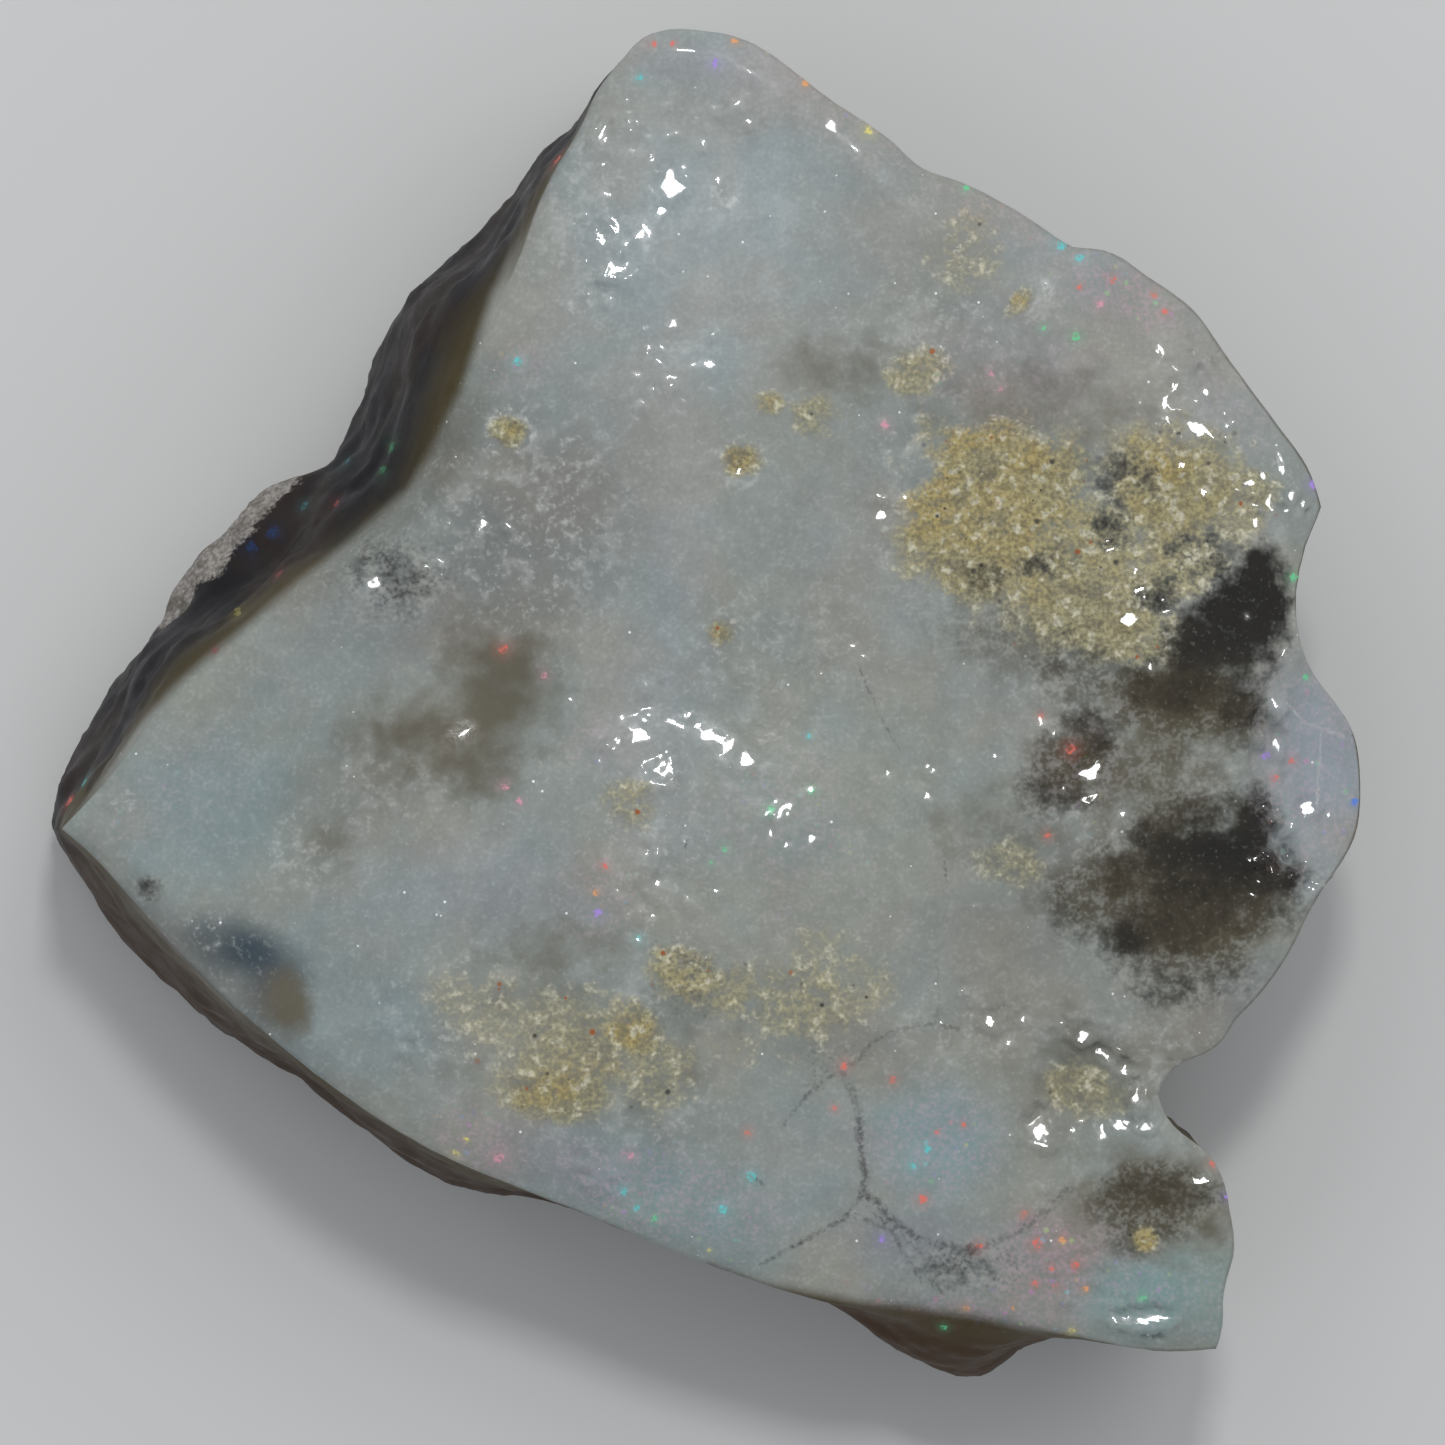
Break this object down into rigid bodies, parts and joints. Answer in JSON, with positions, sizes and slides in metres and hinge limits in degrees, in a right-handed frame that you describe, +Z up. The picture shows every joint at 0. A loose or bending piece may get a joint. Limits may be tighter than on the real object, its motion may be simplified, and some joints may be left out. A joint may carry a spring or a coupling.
{
  "type": "rough opal",
  "caption": "Broken slab of pale milky opal with a glossy face, sandy and smoky patches, a notched sharp edge, rough walls and a worn flat that it rests on.",
  "frame": {"origin": "under the middle of the stone's bounding box, on the surface that it rests on", "axes": "+Z up out of the broken face, +Y towards the narrow top corner, +X towards the notched side"},
  "size_m": [0.0398, 0.041, 0.0121],
  "materials": {
    "opal": "wet gloss over a milky, slightly see-through body with flecks of colour"
  },
  "bodies": {
    "root": {"opal": "opal"}
  },
  "joints": []
}
